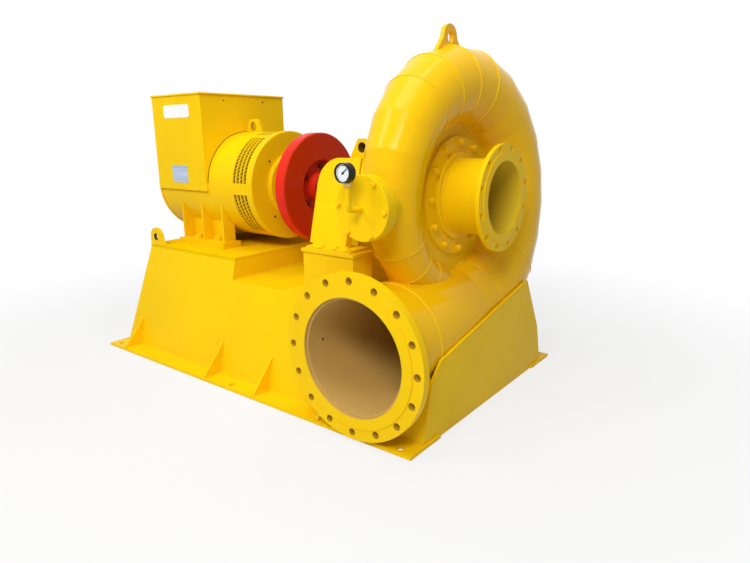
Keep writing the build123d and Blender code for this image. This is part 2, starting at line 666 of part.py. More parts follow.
gauge_case = gauge_body - rod((0, gauge_face_y - 1, GAUGE_Z), (0, 1, 0), dial_r, 9)
save(gauge_case, "gauge_case")
save(rod((0, gauge_face_y + 6, GAUGE_Z), (0, 1, 0), dial_r, 2), "gauge_dial")

# Post on the front wall, its cap and the leaning bracket above
post_low = STRIP_T + GUSSET_H + AIR_GAP
post_area = [
    (POST_FRONT_Y, post_low), (-wall_y(post_low), post_low), (-wall_y(RAMP_Z), RAMP_Z), (POST_BACK_Y, RAMP_Z),
    (POST_BACK_Y, POST_TOP_Z), (POST_FRONT_Y, POST_TOP_Z),
]
CAP_Z = POST_TOP_Z + CAP_T
post = prism_yz(post_area, POST_X0, POST_X1) - pipe_room - flange_room
post += block(POST_X0 - CAP_LIP, POST_X1 + CAP_LIP, POST_FRONT_Y - CAP_LIP, POST_BACK_Y, POST_TOP_Z, CAP_Z)
save(post, "bracket_post")

lean = radians(BRACKET_LEAN_DEG)
FOOT_PLATE_Z = CAP_Z + BRACKET_FOOT_T
plate_foot = (0, POST_FRONT_Y + BRACKET_SETBACK, FOOT_PLATE_Z)
plate_plane = Plane(origin=plate_foot, x_dir=(1, 0, 0), z_dir=(0, -cos(lean), sin(lean)))
round_in = BRACKET_ROUND * (1 - sqrt(0.5))
plate_rim = Polyline(
    (BRACKET_X0, BRACKET_H - BRACKET_ROUND), (BRACKET_X0, -BRACKET_T), (BRACKET_X1, -BRACKET_T),
    (BRACKET_X1, BRACKET_H), (BRACKET_X0 + BRACKET_ROUND, BRACKET_H),
)
plate_corner = ThreePointArc(
    (BRACKET_X0 + BRACKET_ROUND, BRACKET_H),
    (BRACKET_X0 + round_in, BRACKET_H - round_in),
    (BRACKET_X0, BRACKET_H - BRACKET_ROUND),
)
below_foot = block(-FAR, 0, -FAR, 0, 0, FOOT_PLATE_Z)
plate = extrude(plate_plane * make_face([plate_rim, plate_corner]), BRACKET_T) - below_foot
save(plate, "bracket_plate")
column_rim = Polyline(
    (COLUMN_X0, -COLUMN_T), (COLUMN_X1, -COLUMN_T), (COLUMN_X1, COLUMN_H), (COLUMN_X0, COLUMN_H), close=True
)
column = extrude(plate_plane.offset(BRACKET_T) * make_face(column_rim), COLUMN_T) - below_foot
column += block(
    BRACKET_FOOT_X0, BRACKET_FOOT_X1, POST_FRONT_Y, POST_BACK_Y - CAP_LIP, CAP_Z, FOOT_PLATE_Z
)
save(column, "bracket_column")

# Saddles under the casing
SADDLE_Y = PIPE_R + 11.0
SADDLE_T = 16.0
FRONT_SADDLE_DIP = 95.0
BACK_SADDLE_DIP = 65.0
saddle_x0 = CROSS_WALL_X + PLATE_T
front_saddle = block(saddle_x0, END_WALL_X, -SADDLE_Y - SADDLE_T, -SADDLE_Y, 0, INLET_Z - FRONT_SADDLE_DIP)
save(front_saddle - inlet_rod(PIPE_R, -FAR, 0), "front_saddle")
back_saddle = block(saddle_x0, END_WALL_X, SADDLE_Y, SADDLE_Y + SADDLE_T, 0, INLET_Z - BACK_SADDLE_DIP)
back_saddle = back_saddle - scroll_outer
save(max(back_saddle.solids(), key=lambda s: s.volume), "back_saddle")
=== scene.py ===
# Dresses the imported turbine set: enamel paint, bolts, weld beads, vent grilles, gauge and bare plates.
from math import cos, pi, radians, sin, sqrt

import bmesh
import bpy
from mathutils import Matrix, Vector
from mathutils.bvhtree import BVHTree


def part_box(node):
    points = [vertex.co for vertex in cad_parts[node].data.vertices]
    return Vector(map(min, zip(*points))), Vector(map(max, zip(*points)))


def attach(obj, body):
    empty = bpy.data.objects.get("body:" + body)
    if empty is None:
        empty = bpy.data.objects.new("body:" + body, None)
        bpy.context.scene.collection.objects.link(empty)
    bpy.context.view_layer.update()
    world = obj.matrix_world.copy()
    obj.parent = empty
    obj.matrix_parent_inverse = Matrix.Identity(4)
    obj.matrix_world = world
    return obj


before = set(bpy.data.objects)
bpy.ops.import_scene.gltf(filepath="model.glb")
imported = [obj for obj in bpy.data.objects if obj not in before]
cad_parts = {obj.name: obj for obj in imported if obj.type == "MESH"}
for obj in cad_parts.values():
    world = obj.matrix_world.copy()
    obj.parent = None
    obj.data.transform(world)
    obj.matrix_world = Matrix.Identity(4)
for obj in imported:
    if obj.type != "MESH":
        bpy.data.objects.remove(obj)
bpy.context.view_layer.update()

MM = 0.001
X_AXIS = Vector((1, 0, 0))
Y_AXIS = Vector((0, 1, 0))
Z_AXIS = Vector((0, 0, 1))

# Sizes of the solids in mm, X measured from the casing's plane as in the part's source
ROW_SHIFT_X = 675.0
SHAFT_Z = 771.0

# Inlet pipe and its flange
INLET_Z = 295.0
INLET_FACE_Y = -575.0
INLET_FLANGE_T = 28.0
INLET_PCD_R = 257.5
INLET_HOLES = 16
INLET_HOLE_R = 13.0
PIPE_R = 203.0
PIPE_BORE_R = 195.0
PIPE_END_Y = -565.0
PIPE_SEAM_Y = -345.0

# Spiral casing, its stay ring, covers, outlet and inspection nozzle
STAY_R = 249.0
START_SHIFT = 24.0
START_DEG = 60.0
TAIL_R = 83.0
TAIL_DEG = 345.0
SEGMENTS = 21
RING_R = 280.0
RING_HALF = 40.0
COVER_X = 52.0
DRAFT_BORE_R = 130.0
DRAFT_FACE_X = 239.0
NOZZLE_R = 80.0
NOZZLE_FLANGE_T = 22.0

# Generator and flywheel
DRUM_R = 240.0
BELL_FACE_X = -818.0
REAR_FLANGE_T = 18.0
FOOT_TOP = 516.0
FLY_FLOOR_DEPTH = 40.0
VENT_X1 = -864.0
VENT_PITCH = 23.4
VENT_COUNT = 4
VENT_ARCS = ((-55, -7), (5, 63), (69, 111), (117, 175), (187, 235))

# Skid with its gussets, lifting eyes and bracket
WALL_X0 = -1530.0
WALL_X1 = 202.0
WALL_FOOT_Y = 474.0
WALL_LEAN = 0.264
STRIP_T = 12.0
STRIP_OUT_Y = 556.0
GUSSET_X = (-1432.0, -826.0, -522.0, -186.0)
GUSSET_HALF = 6.0
GUSSET_TOP = 140.0
LUG_T = 16.0
GENERATOR_EYE = (-1048.0, 0.0, 1036.0)
GENERATOR_EYE_R = 21.0
BEARING_EYE = (-382.0, 0.0, 943.0)
BEARING_EYE_R = 21.0
BEARING_LUG_T = 50.0
SKID_EYE_X = -1402.0
SKID_EYE_Y = 343.5
SKID_EYE_Z = 526.0
SKID_EYE_R = 17.0
CAP_TOP = 615.0
BRACKET_FOOT = (0.0, -382.0, CAP_TOP)
BRACKET_LEAN_DEG = 14.0
BRACKET_T = 10.0
COLUMN_X0 = -294.0
COLUMN_H = 130.0


def at(x, y, z):
    return Vector(((x + ROW_SHIFT_X) * MM, y * MM, z * MM))


# Materials
def new_material(name):
    mat = bpy.data.materials.new(name)
    mat.use_nodes = True
    tree = mat.node_tree
    return mat, tree.nodes, tree.links, tree.nodes["Principled BSDF"]


def add_noise(nodes, links, scale, detail, stretch=(1, 1, 1)):
    coord = nodes.new("ShaderNodeTexCoord")
    mapping = nodes.new("ShaderNodeMapping")
    mapping.inputs["Scale"].default_value = stretch
    noise = nodes.new("ShaderNodeTexNoise")
    noise.inputs["Scale"].default_value = scale
    noise.inputs["Detail"].default_value = detail
    links.new(coord.outputs["Object"], mapping.inputs["Vector"])
    links.new(mapping.outputs["Vector"], noise.inputs["Vector"])
    return noise


def add_ramp(nodes, links, source, stops):
    ramp = nodes.new("ShaderNodeValToRGB")
    ramp.color_ramp.elements[0].position = stops[0][0]
    ramp.color_ramp.elements[0].color = (*stops[0][1], 1)
    ramp.color_ramp.elements[1].position = stops[-1][0]
    ramp.color_ramp.elements[1].color = (*stops[-1][1], 1)
    for place, colour in stops[1:-1]:
        ramp.color_ramp.elements.new(place).color = (*colour, 1)
    links.new(source, ramp.inputs["Fac"])
    return ramp.outputs["Color"]


def add_bump(nodes, links, height, strength, distance):
    bump = nodes.new("ShaderNodeBump")
    bump.inputs["Strength"].default_value = strength
    bump.inputs["Distance"].default_value = distance
    links.new(height, bump.inputs["Height"])
    return bump


def shade(colour, factor):
    return tuple(min(1.0, c * factor) for c in colour)


def add_cloudy_tint(nodes, links, clouds, colour):
    stops = [(0.3, shade(colour, 0.96)), (0.5, colour), (0.72, shade(colour, 1.03))]
    return add_ramp(nodes, links, clouds.outputs["Fac"], stops)


# Painted shade: goes from the rim's tint to the face's darker one as the surface turns to look along the
# shaft line
def add_face_shade_blend(nodes, links, rim_tint, face_shade_tint):
    geometry = nodes.new("ShaderNodeNewGeometry")
    split = nodes.new("ShaderNodeSeparateXYZ")
    share = nodes.new("ShaderNodeMath")
    share.operation = "ABSOLUTE"
    blend = nodes.new("ShaderNodeMixRGB")
    links.new(geometry.outputs["Normal"], split.inputs["Vector"])
    links.new(split.outputs["X"], share.inputs[0])
    links.new(share.outputs["Value"], blend.inputs["Fac"])
    links.new(rim_tint, blend.inputs["Color1"])
    links.new(face_shade_tint, blend.inputs["Color2"])
    return blend.outputs["Color"]


# Sprayed enamel: faint clouds of shade, patches of duller gloss, orange-peel bump and softened edges; a
# face colour, if given, is painted shade on faces along the shaft line
def enamel(name, colour, rough=0.3, gloss=0.15, edge=0.002, face_shade_colour=None):
    mat, nodes, links, shader = new_material(name)
    clouds = add_noise(nodes, links, scale=4.0, detail=4.0)
    tint = add_cloudy_tint(nodes, links, clouds, colour)
    if face_shade_colour:
        face_shade_tint = add_cloudy_tint(nodes, links, clouds, face_shade_colour)
        tint = add_face_shade_blend(nodes, links, tint, face_shade_tint)
    links.new(tint, shader.inputs["Base Color"])
    dull = add_noise(nodes, links, scale=14.0, detail=3.0)
    spread = nodes.new("ShaderNodeMapRange")
    spread.inputs["From Min"].default_value = 0.3
    spread.inputs["From Max"].default_value = 0.7
    spread.inputs["To Min"].default_value = rough - 0.05
    spread.inputs["To Max"].default_value = rough + 0.07
    links.new(dull.outputs["Fac"], spread.inputs["Value"])
    links.new(spread.outputs["Result"], shader.inputs["Roughness"])
    peel = add_noise(nodes, links, scale=260.0, detail=2.0)
    bevel = nodes.new("ShaderNodeBevel")
    bevel.samples = 4
    bevel.inputs["Radius"].default_value = edge
    bump = add_bump(nodes, links, peel.outputs["Fac"], strength=0.06, distance=0.0006)
    links.new(bevel.outputs["Normal"], bump.inputs["Normal"])
    links.new(bump.outputs["Normal"], shader.inputs["Normal"])
    shader.inputs["Specular IOR Level"].default_value = gloss
    return mat


# Bare metal with a fine grain, drawn out along the axes where stretch is small
def bare_metal(name, colour, rough, stretch=(1, 1, 1)):
    mat, nodes, links, shader = new_material(name)
    grain = add_noise(nodes, links, scale=60.0, detail=5.0, stretch=stretch)
    stops = [(0.3, shade(colour, 0.75)), (0.7, shade(colour, 1.15))]
    tint = add_ramp(nodes, links, grain.outputs["Fac"], stops)
    links.new(tint, shader.inputs["Base Color"])
    bump = add_bump(nodes, links, grain.outputs["Fac"], strength=0.15, distance=0.0005)
    links.new(bump.outputs["Normal"], shader.inputs["Normal"])
    shader.inputs["Metallic"].default_value = 1.0
    shader.inputs["Roughness"].default_value = rough
    return mat


YELLOW = (0.93, 0.60, 0.003)
CASING_YELLOW = (0.93, 0.54, 0.003)
# The face red is the rim red darkened: painted shade on the flywheel's faces
RIM_RED = (0.76, 0.025, 0.011)
FACE_SHADE_RED = (0.50, 0.029, 0.002)
yellow = enamel("yellow_enamel", YELLOW, rough=0.34, gloss=0.07)
casing_yellow = enamel("casing_enamel", CASING_YELLOW, rough=0.16, gloss=0.11)
# The deck's yellow is darkened a little: painted shade for the deck under the generator
deck_shaded_yellow = enamel("deck_enamel", shade(YELLOW, 0.94), rough=0.7, gloss=0.0)
# Darker, duller coats inside the two bores: painted shade
inlet_shade_brown = enamel("inlet_shade_brown", (0.64, 0.41, 0.12), rough=0.5, gloss=0.08)
outlet_shade_olive = enamel("outlet_shade_olive", (0.76, 0.52, 0.03), rough=0.5, gloss=0.05)
weld_yellow = enamel("weld_yellow", shade(YELLOW, 0.97), rough=0.36, edge=0.0005)
bolt_yellow = enamel("bolt_yellow", YELLOW, rough=0.3, gloss=0.1, edge=0.0006)
red = enamel("red_enamel", RIM_RED, rough=0.3, gloss=0.1, face_shade_colour=FACE_SHADE_RED)
black = enamel("black_enamel", (0.012, 0.012, 0.014), rough=0.25, edge=0.0008)
dark_bolt = bare_metal("dark_bolt", (0.06, 0.045, 0.04), rough=0.45)
fly_bolt_paint = enamel("flywheel_bolt_red", (0.10, 0.010, 0.006), rough=0.4, edge=0.0006)
# Dark coat for the eyes' bores and the tapping: painted shade
eye_shade_dark = enamel("eye_shade_dark", (0.14, 0.085, 0.02), rough=0.6, gloss=0.1, edge=0.0003)
# Brownish coat for the flange holes and the generator's eye: painted shade inside them
hole_shade_brown = enamel("hole_shade_brown", (0.60, 0.37, 0.02), rough=0.5, gloss=0.1, edge=0.0003)
# Near-black coat of painted shade, for the vents' slots and the box's joint with the drum
painted_shade_black = enamel("painted_shade_black", (0.030, 0.022, 0.010), rough=0.7, gloss=0.05, edge=0.0003)
brass = bare_metal("brass", (0.62, 0.43, 0.12), rough=0.3)
steel = bare_metal("turned_steel", (0.50, 0.49, 0.48), rough=0.32, stretch=(1, 0.05, 0.05))
bronze = bare_metal("cast_runner", (0.42, 0.36, 0.27), rough=0.42)
grille_paint = enamel("grille_paint", (0.85, 0.53, 0.006), rough=0.5, edge=0.0005)
plate_white = enamel("plate_white", (0.93, 0.93, 0.92), rough=0.5, gloss=0.02, edge=0.0008)
plate_blue = bare_metal("plate_blue", (0.50, 0.60, 0.74), rough=0.42, stretch=(0.05, 1, 1))
dial_white = enamel("dial_white", (0.86, 0.90, 0.93), rough=0.35, edge=0.0003)
ink = enamel("ink", (0.01, 0.01, 0.012), rough=0.5, edge=0.0002)

NODE_PAINT = {
    "flywheel": red,
    "shaft": steel,
    "runner": bronze,
    "gauge_case": black,
    "gauge_dial": dial_white,
    "generator_deck": deck_shaded_yellow,
    "pit_floor": deck_shaded_yellow,
}
CASING_NODES = ("scroll_lower", "scroll_back", "scroll_top", "scroll_front", "inlet_pipe", "scroll_lug")
for name in CASING_NODES:
    NODE_PAINT[name] = casing_yellow
for name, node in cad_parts.items():
    node.data.materials.clear()
    node.data.materials.append(NODE_PAINT.get(name, yellow))


# Mesh helpers, in metres unless they say mm
SHARP_DEG = 30
BEAD_STEP = 0.006
BEAD_RIPPLE = 0.15
RIPPLE_TURN = 2.2


def finish_piece(name, mesh, material, body="frame"):
    data = bpy.data.meshes.new(name)
    bmesh.ops.recalc_face_normals(mesh, faces=mesh.faces)
    mesh.to_mesh(data)
    mesh.free()
    data.materials.append(material)
    for face in data.polygons:
        face.use_smooth = True
    obj = bpy.data.objects.new(name, data)
    bpy.context.scene.collection.objects.link(obj)
    data.set_sharp_from_angle(angle=radians(SHARP_DEG))
    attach(obj, body)


def facing(place, axis):
    return Matrix.Translation(place) @ axis.to_track_quat("Z", "Y").to_matrix().to_4x4()


def join_loops(mesh, low, high):
    count = len(low)
    for i in range(count):
        j = (i + 1) % count
        mesh.faces.new((low[i], low[j], high[j], high[i]))


# Skin over a row of loops, capped at both ends
def add_skin(mesh, loops):
    for low, high in zip(loops, loops[1:]):
        join_loops(mesh, low, high)
    mesh.faces.new(reversed(loops[0]))
    mesh.faces.new(loops[-1])


def full_turn(count):
    return [2 * pi * i / count for i in range(count)]


def line_points(start, end):
    count = max(2, int((end - start).length / BEAD_STEP))
    return [start.lerp(end, i / count) for i in range(count + 1)]


def circle_points(centre, u, v, radius, count):
    return [centre + radius * (cos(t) * u + sin(t) * v) for t in full_turn(count)]


# A solid of revolution from (radius, height) steps
def add_turned(mesh, place, axis, steps, sides):
    stand = facing(place, axis)
    loops = []
    for radius, height in steps:
        ring = [Vector((radius * cos(t), radius * sin(t), height)) for t in full_turn(sides)]
        loops.append([mesh.verts.new(stand @ point) for point in ring])
    add_skin(mesh, loops)


# Hexagon head with a chamfered top and a low round crown, its size across flats and in height
def add_hex(mesh, place, axis, size, washer=False):
    flats, height = size
    corner = flats / sqrt(3)
    crown = 0.70 * corner
    crown_sink = 0.0004
    foot = place
    if washer:
        thick = 0.1 * flats
        rim = 1.02 * flats
        add_turned(mesh, foot, axis, [(rim, 0), (rim, 0.8 * thick), (0.95 * flats, thick)], sides=20)
        foot = place + axis * thick
    head_steps = [(corner, 0), (corner, 0.82 * height), (0.84 * corner, height)]
    crown_steps = [(crown, -crown_sink), (crown, 0.05 * height), (0.55 * corner, 0.09 * height)]
    add_turned(mesh, foot, axis, head_steps, sides=6)
    add_turned(mesh, foot + axis * height, axis, crown_steps, sides=12)


# Domed screw head with a recess, its steps as shares of the radius
SCREW_STEPS = ((1, 0), (1, 0.25), (0.85, 0.5), (0.5, 0.62), (0.42, 0.3))


def add_screw(mesh, place, axis, radius):
    steps = [(radius * out, radius * up) for out, up in SCREW_STEPS]
    add_turned(mesh, place, axis, steps, sides=14)


# Tube along a path, whose size may ripple from point to point
def add_tube(mesh, points, radius, closed=False, ripple=0.0, sides=8):
    count = len(points)
    loops = []
    guide = None
    for i, point in enumerate(points):
        ahead = points[(i + 1) % count] if closed or i + 1 < count else point
        behind = points[i - 1] if closed or i > 0 else point
        along = (ahead - behind).normalized()
        if guide is None:
            guide = along.orthogonal().normalized()
        guide = (guide - along * guide.dot(along)).normalized()
        side = along.cross(guide)
        size = radius * (1 + ripple * sin(RIPPLE_TURN * i))
        ring = circle_points(point, guide, side, size, sides)
        loops.append([mesh.verts.new(place) for place in ring])
    if closed:
        for low, high in zip(loops, loops[1:] + loops[:1]):
            join_loops(mesh, low, high)
    else:
        add_skin(mesh, loops)


def add_bead(mesh, points, radius, closed=False, ripple=BEAD_RIPPLE):
    add_tube(mesh, points, radius, closed, ripple)


# Plate with rounded corners and a softened front edge
def add_plate(mesh, centre, u, v, width, height, thick, corner):
    corner_steps = 5
    outward = u.cross(v)
    rim = []
    for side_u, side_v, start in ((1, 1, 0), (-1, 1, 90), (-1, -1, 180), (1, -1, 270)):
        for k in range(corner_steps + 1):
            t = radians(start + 90 * k / corner_steps)
            along_u = side_u * (width / 2 - corner) + corner * cos(t)
            along_v = side_v * (height / 2 - corner) + corner * sin(t)
            rim.append((along_u, along_v))
    soft = 0.35 * thick
    loops = []
    for inset, lift in ((0, 0), (0, thick - soft), (soft, thick)):
        scale_u = 1 - 2 * inset / width
        scale_v = 1 - 2 * inset / height
        ring = [centre + u * a * scale_u + v * b * scale_v + outward * lift for a, b in rim]
        loops.append([mesh.verts.new(place) for place in ring])
    add_skin(mesh, loops)


# A ring of square section along an axis, sizes in mm
def add_sleeve(mesh, start, axis, inner_r, outer_r, length, sides):
    side = axis.cross(Z_AXIS)
    loops = []
    for size, along in ((inner_r, 0), (outer_r, 0), (outer_r, length), (inner_r, length)):
        rim = circle_points(start + axis * along * MM, Z_AXIS, side, size * MM, sides)
        loops.append([mesh.verts.new(place) for place in rim])
    for near, far in zip(loops, loops[1:] + loops[:1]):
        join_loops(mesh, near, far)


# Thin coat on the wall of a round hole, sizes in mm
COAT_GAP = 0.1
COAT_T = 0.6


def add_bore(mesh, start, axis, radius, length, sides=40):
    outer_r = radius - COAT_GAP
    add_sleeve(mesh, start, axis, outer_r - COAT_T, outer_r, length, sides)


# Places evenly round the shaft line and round the inlet's axis, counted from the top, sizes in mm
def round_shaft(x, radius, count, offset_deg=0.0):
    turns = [radians(360 * i / count + offset_deg) for i in range(count)]
    return [at(x, radius * sin(t), SHAFT_Z + radius * cos(t)) for t in turns]


def round_inlet(y, radius, count):
    return [at(radius * sin(t), y, INLET_Z + radius * cos(t)) for t in full_turn(count)]


# Radii of the weld beads in metres
FINE_BEAD = 0.0022
THIN_BEAD = 0.003
WALL_BEAD = 0.004
HEAVY_BEAD = 0.005
FLANGE_BEAD = 0.006

# Seams of the casing: those ground flush get no bead, those on top a full one and the rest a fine one
FLUSH_SEAMS = (4, 5, 6, 7, 8, 9, 14, 15, 16, 17)
FULL_SEAMS = (10, 11, 12)
SEAM_RIPPLE = 0.12
SEAM_STEPS = 70

# Runs of the casing's beads, places in mm
RING_AIR = 2.0
RING_BEAD_DEG = 330
FLANGE_BEAD_OUT = 1.0
PIPE_BEAD_POINTS = 200
DRAFT_BEAD_POINTS = 160
NECK_BEAD_POINTS = 120
LUG_BEAD_Y = range(-52, 70, 5)
FAR_FRONT_Y = -700.0
FAR_ABOVE_Z = 1600.0


def spiral_radius(deg):
    return (PIPE_R + TAIL_R) / 2 + (PIPE_R - TAIL_R) / 2 * cos(pi * deg / TAIL_DEG)


def spiral_centre_r(deg):
    return STAY_R + spiral_radius(deg) + START_SHIFT * max(0.0, 1 - deg / START_DEG)


def spiral_point(x, reach, deg):
    return at(x, reach * sin(radians(deg)), SHAFT_Z - reach * cos(radians(deg)))


def clear_of_ring(x, reach):
    return abs(x) > RING_HALF + RING_AIR or reach > RING_R + RING_AIR


def seam_run(deg):
    size = spiral_radius(deg)
    run = []
    for k in range(-SEAM_STEPS, SEAM_STEPS + 1):
        t = pi / 2 + pi * k / SEAM_STEPS
        x = size * cos(t)
        reach = spiral_centre_r(deg) + size * sin(t)
        if clear_of_ring(x, reach):
            run.append(spiral_point(x, reach, deg))
    return run


def ring_run(x):
    run = []
    for deg in range(RING_BEAD_DEG + 1):
        reach = spiral_centre_r(deg) - sqrt(spiral_radius(deg) ** 2 - RING_HALF ** 2)
        run.append(spiral_point(x, reach, deg))
    return run


def surface_tree(name):
    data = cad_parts[name].data
    return BVHTree.FromPolygons([v.co for v in data.vertices], [p.vertices for p in data.polygons])


# Where the nozzle's neck meets the front limb
def neck_run():
    tree = surface_tree("scroll_front")
    run = []
    for t in full_turn(NECK_BEAD_POINTS):
        start = at(NOZZLE_R * cos(t), FAR_FRONT_Y, SHAFT_Z + NOZZLE_R * sin(t))
        run.append(tree.ray_cast(start, Y_AXIS)[0])
    return run


def add_casing_welds():
    mesh = bmesh.new()
    for i in range(1, SEGMENTS):
        if i not in FLUSH_SEAMS:
            bead = THIN_BEAD if i in FULL_SEAMS else FINE_BEAD
            add_bead(mesh, seam_run(i * TAIL_DEG / SEGMENTS), bead, ripple=SEAM_RIPPLE)
    for x in (RING_HALF, -RING_HALF):
        add_bead(mesh, ring_run(x), HEAVY_BEAD)
    pipe_beads = (
        (PIPE_SEAM_Y, PIPE_R, THIN_BEAD),
        (INLET_FACE_Y + INLET_FLANGE_T, PIPE_R + FLANGE_BEAD_OUT, FLANGE_BEAD),
    )
    for y, radius, bead in pipe_beads:
        ring = circle_points(at(0, y, INLET_Z), X_AXIS, Z_AXIS, radius * MM, PIPE_BEAD_POINTS)
        add_bead(mesh, ring, bead, closed=True)
    draft_low, draft_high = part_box("draft_tube")
    draft_r = (draft_high.z - draft_low.z) / 2
    for x in (draft_low.x, draft_high.x):
        ring = circle_points(Vector((x, 0, SHAFT_Z * MM)), Y_AXIS, Z_AXIS, draft_r, DRAFT_BEAD_POINTS)
        add_bead(mesh, ring, HEAVY_BEAD, closed=True)
    add_bead(mesh, neck_run(), THIN_BEAD, closed=True)
    top_tree = surface_tree("scroll_top")
    for x in (-LUG_T / 2, LUG_T / 2):
        run = [top_tree.ray_cast(at(x, y, FAR_ABOVE_Z), -Z_AXIS)[0] for y in LUG_BEAD_Y]
        add_bead(mesh, run, HEAVY_BEAD)
    finish_piece("casing_welds", mesh, weld_yellow)


# Weld beads of the skid, and of the column on the bracket's leaning plate, places in mm
COLUMN_BEAD_Z0 = 4.0
COLUMN_BEAD_X1 = -154.0


def wall_y(z):
    return WALL_FOOT_Y - WALL_LEAN * (z - STRIP_T)


def on_bracket(x, height):
    lean = radians(BRACKET_LEAN_DEG)
    plate_up = Vector((0, sin(lean), cos(lean)))
    plate_out = Vector((0, -cos(lean), sin(lean)))
    return at(*BRACKET_FOOT) + plate_out * BRACKET_T * MM + X_AXIS * x * MM + plate_up * height * MM


def add_gusset_beads(mesh, x, side):
    root = at(x, side * WALL_FOOT_Y, STRIP_T)
    tip = at(x, side * wall_y(GUSSET_TOP), GUSSET_TOP)
    toe = at(x, side * (STRIP_OUT_Y - 2 * GUSSET_HALF), STRIP_T)
    add_bead(mesh, line_points(root, tip), THIN_BEAD)
    add_bead(mesh, line_points(root, toe), THIN_BEAD)


def add_skid_welds():
    mesh = bmesh.new()
    for side in (-1, 1):
        foot_y = side * WALL_FOOT_Y
        foot = line_points(at(WALL_X0, foot_y, STRIP_T), at(WALL_X1, foot_y, STRIP_T))
        add_bead(mesh, foot, WALL_BEAD)
        for x in GUSSET_X:
            add_gusset_beads(mesh, x - GUSSET_HALF, side)
            add_gusset_beads(mesh, x + GUSSET_HALF, side)
    low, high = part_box("pit_wall")
    pit_foot = line_points(Vector((high.x, low.y, low.z)), Vector((high.x, high.y, low.z)))
    add_bead(mesh, pit_foot, WALL_BEAD)
    for name in ("front_base_lug", "back_base_lug"):
        low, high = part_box(name)
        for y in (low.y, high.y):
            lug_foot = line_points(Vector((low.x, y, low.z)), Vector((high.x, y, low.z)))
            add_bead(mesh, lug_foot, THIN_BEAD)
    column_foot = on_bracket(COLUMN_X0, COLUMN_BEAD_Z0)
    column_corner = on_bracket(COLUMN_X0, COLUMN_H)
    column_end = on_bracket(COLUMN_BEAD_X1, COLUMN_H)
    add_bead(mesh, line_points(column_foot, column_corner), HEAVY_BEAD)
    add_bead(mesh, line_points(column_corner, column_end), HEAVY_BEAD)
    finish_piece("skid_welds", mesh, weld_yellow)


# Darker coats in the bores of lifting eyes and flange holes, and a dark disc at a tapping in the inlet's
# wall, all painted shade where the holes look dark
TAPPING = (-194.7, -495.0, 300.0)
TAPPING_R = 6.0
TAPPING_RIM_R = 9.0
TAPPING_RIM_H = 2.2
TAPPING_DISC = [(0.0061, 0), (0.0061, 0.0012), (0.004, 0.0009)]
TAPPING_SIDES = 24


def add_eye(mesh, middle, radius, thick):
    add_bore(mesh, at(*middle) - Y_AXIS * thick / 2 * MM, Y_AXIS, radius, thick)


def add_eye_shade_coats():
    mesh = bmesh.new()
    add_eye(mesh, BEARING_EYE, BEARING_EYE_R, BEARING_LUG_T)
    for y in (-SKID_EYE_Y, SKID_EYE_Y):
        add_eye(mesh, (SKID_EYE_X, y, SKID_EYE_Z), SKID_EYE_R, LUG_T)
    add_turned(mesh, at(*TAPPING), X_AXIS, TAPPING_DISC, TAPPING_SIDES)
    finish_piece("eye_and_tapping_shade", mesh, eye_shade_dark)


def add_hole_shade_coats():
    mesh = bmesh.new()
    add_eye(mesh, GENERATOR_EYE, GENERATOR_EYE_R, LUG_T)
    for place in round_inlet(INLET_FACE_Y, INLET_PCD_R, INLET_HOLES):
        add_bore(mesh, place, Y_AXIS, INLET_HOLE_R, INLET_FLANGE_T)
    finish_piece("flange_hole_shade", mesh, hole_shade_brown)


# Raised faces of the two pipe flanges, let into them a little, sizes in mm
INLET_RAISED = 2.5
INLET_RAISED_R = 241.0
DRAFT_RAISED = 3.0
DRAFT_RAISED_R = 160.0
RAISED_SEAT = 0.2
RAISED_SIDES = 160


def add_raised_faces():
    mesh = bmesh.new()
    inlet = at(0, INLET_FACE_Y - INLET_RAISED, INLET_Z)
    inlet_t = INLET_RAISED + RAISED_SEAT
    add_sleeve(mesh, inlet, Y_AXIS, PIPE_R, INLET_RAISED_R, inlet_t, RAISED_SIDES)
    draft = at(DRAFT_FACE_X - RAISED_SEAT, 0, SHAFT_Z)
    draft_t = DRAFT_RAISED + RAISED_SEAT
    add_sleeve(mesh, draft, X_AXIS, DRAFT_BORE_R, DRAFT_RAISED_R, draft_t, RAISED_SIDES)
    finish_piece("flange_raised_faces", mesh, yellow)


# Hexagon heads, across flats and in height, and radii of screw heads, in metres
COVER_HEX = (0.023, 0.016)
BLIND_HEX = (0.016, 0.009)
FOOT_HEX = (0.028, 0.016)
CAP_HEX = (0.014, 0.009)
FLY_HEX = (0.022, 0.013)
GAUGE_HEX = (0.024, 0.013)
BOX_SCREW_R = 0.0038
BELL_SCREW_R = 0.0048
REAR_SCREW_R = 0.008

# Places of bolts and screws in mm, and their turn from the top in degrees
COVER_BOLTS = 12
COVER_PCD_R = 195.0
BLIND_BOLTS = 6
BLIND_PCD_R = 93.0
BLIND_TURN_DEG = 35
FOOT_BOLT_X = (-1250.0, -1107.0)
FOOT_BOLT_Y = 214.0
CAP_BOLT_X = (-232.0, -168.0, -117.0)
CAP_BOLT_Y = -440.0
BOX_FRONT_SCREW_X = (-1394.0, -1284.0, -1174.0)
BOX_FRONT_SCREW_Z = 758.0
BOX_SIDE_SCREW_Y = (-120.0, 116.0)
BOX_SIDE_SCREW_Z = 1151.0
BELL_SCREWS = 4
BELL_SCREW_PCD_R = 173.0
BELL_TURN_DEG = 41
REAR_SCREWS = 6
REAR_SCREW_PCD_R = 216.0
REAR_TURN_DEG = 30
FLY_BOLTS = 5
FLY_PCD_R = 92.0
FLY_TURN_DEG = -59

box_low, box_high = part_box("terminal_box")


